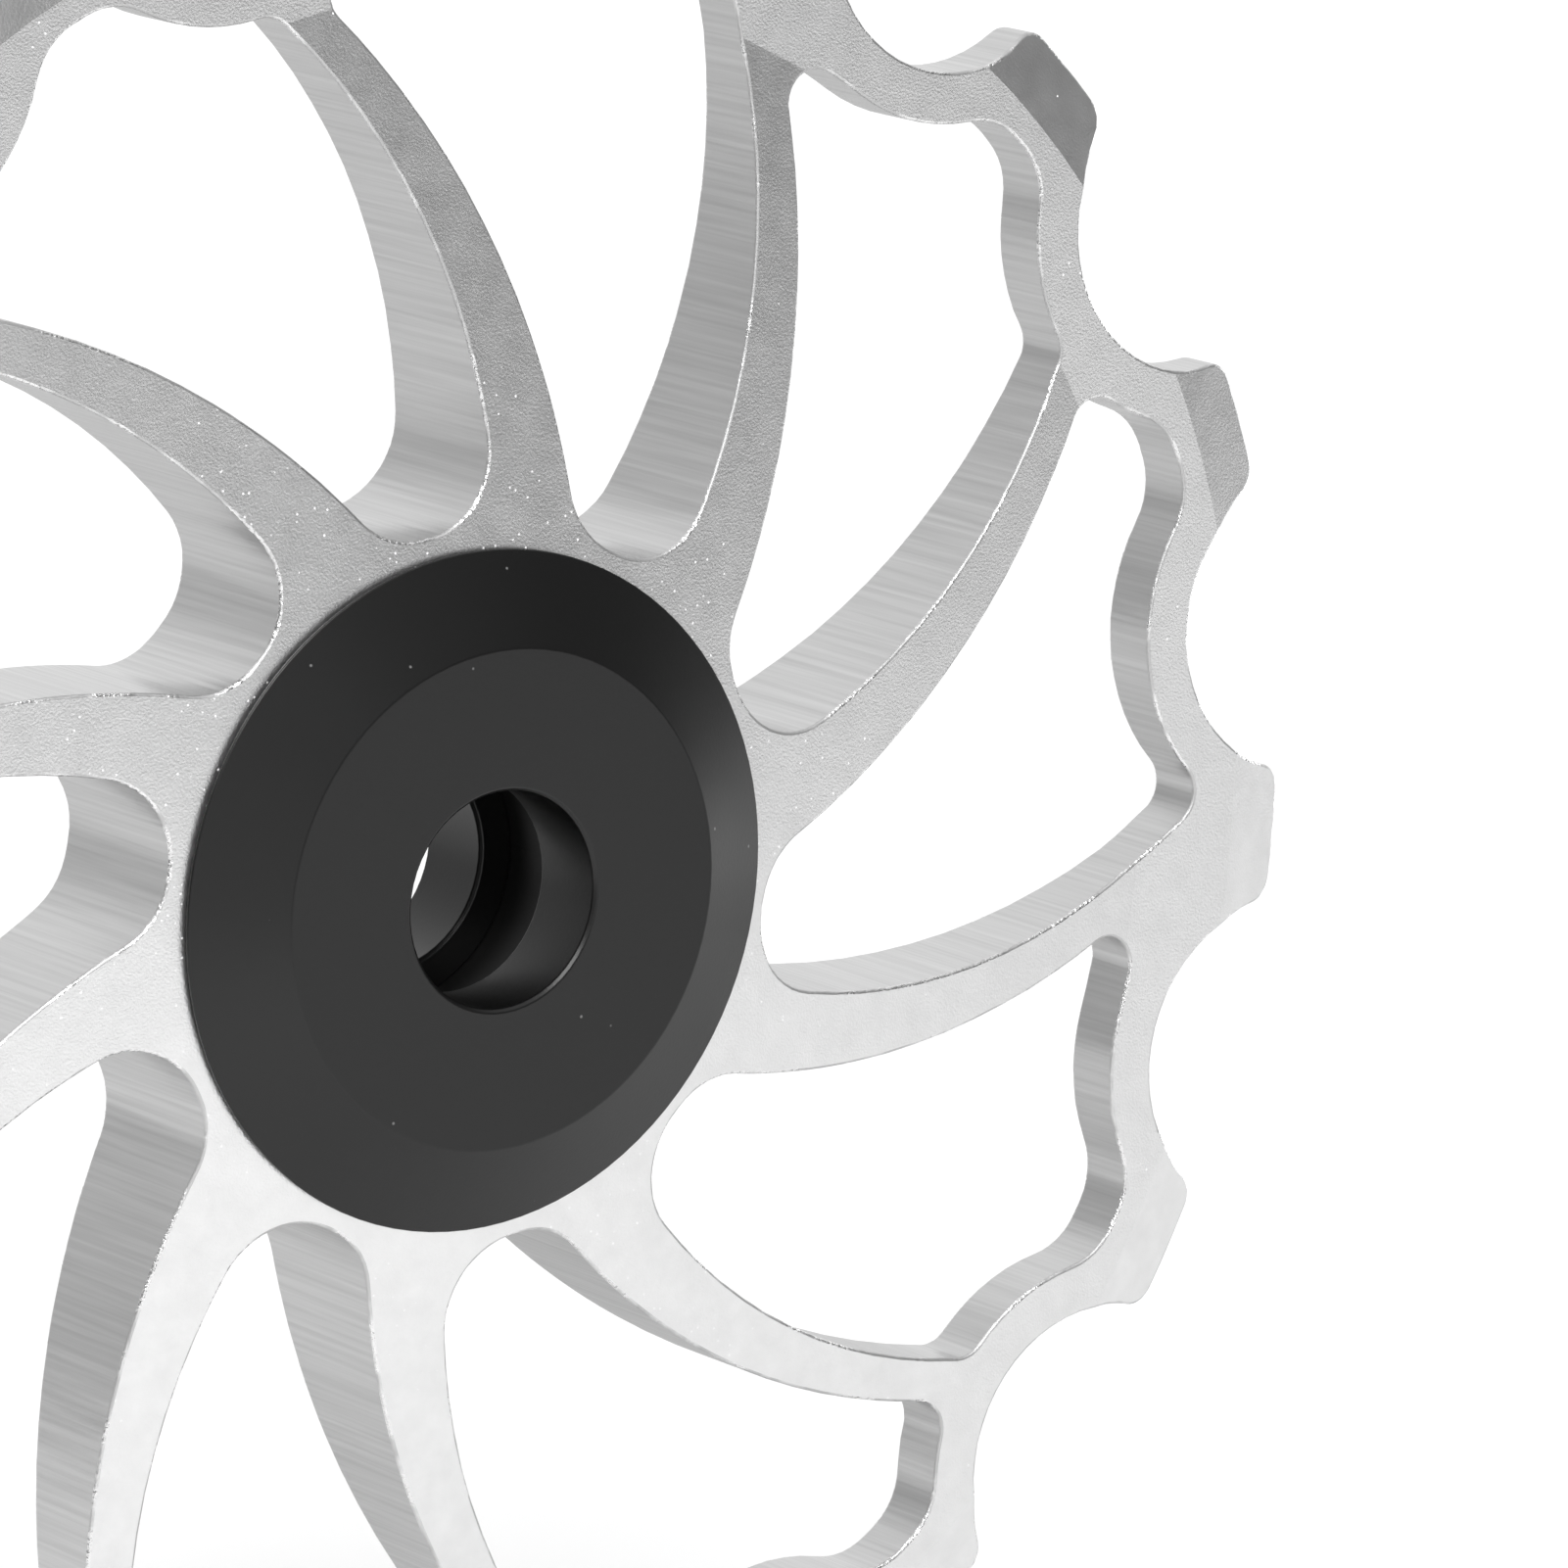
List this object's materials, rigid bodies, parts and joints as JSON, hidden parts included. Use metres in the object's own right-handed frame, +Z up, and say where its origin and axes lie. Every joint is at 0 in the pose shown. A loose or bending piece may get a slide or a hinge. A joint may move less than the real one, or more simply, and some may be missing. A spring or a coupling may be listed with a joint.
{
  "type": "derailleur jockey wheel",
  "caption": "Spoked aluminium jockey wheel that guides a bicycle chain, on a sealed ceramic ball bearing with black dust covers and a central axle bore.",
  "frame": {"origin": "centre of the axle bore, midway across the wheel's width", "axes": "+Y along the axle from the front cover to the rear cover, +Z up, +X to the right seen from the front"},
  "size_m": [0.0594, 0.008, 0.0591],
  "materials": {
    "machined_aluminium": "satin, machined",
    "black_anodised_aluminium": "satin anodised",
    "bearing_steel": "ground and black oxide coated",
    "ceramic": "polished",
    "cage_nylon": "moulded",
    "seal_rubber": "moulded"
  },
  "bodies": {
    "hub": {"front_cover": "black_anodised_aluminium", "rear_cover": "black_anodised_aluminium", "bearing_inner_ring": "bearing_steel"},
    "wheel": {"wheel": "machined_aluminium", "bearing_outer_ring": "bearing_steel", "front_seal": "seal_rubber", "rear_seal": "seal_rubber"},
    "cage": {"ball_cage": "cage_nylon", "ball_01": "ceramic", "ball_02": "ceramic", "ball_03": "ceramic", "ball_04": "ceramic", "ball_05": "ceramic", "ball_06": "ceramic", "ball_07": "ceramic", "ball_08": "ceramic", "ball_09": "ceramic", "ball_10": "ceramic"}
  },
  "joints": [
    {"name": "wheel_spin", "type": "hinge", "parent": "hub", "child": "wheel", "pos_m": [0, 0, 0], "axis": [0, 1, 0], "continuous": true},
    {"name": "cage_spin", "type": "hinge", "parent": "hub", "child": "cage", "pos_m": [0, 0, 0], "axis": [0, 1, 0], "continuous": true}
  ],
  "couplings": [
    {"joint": "cage_spin", "follows": "wheel_spin", "ratio": 0.58333}
  ]
}
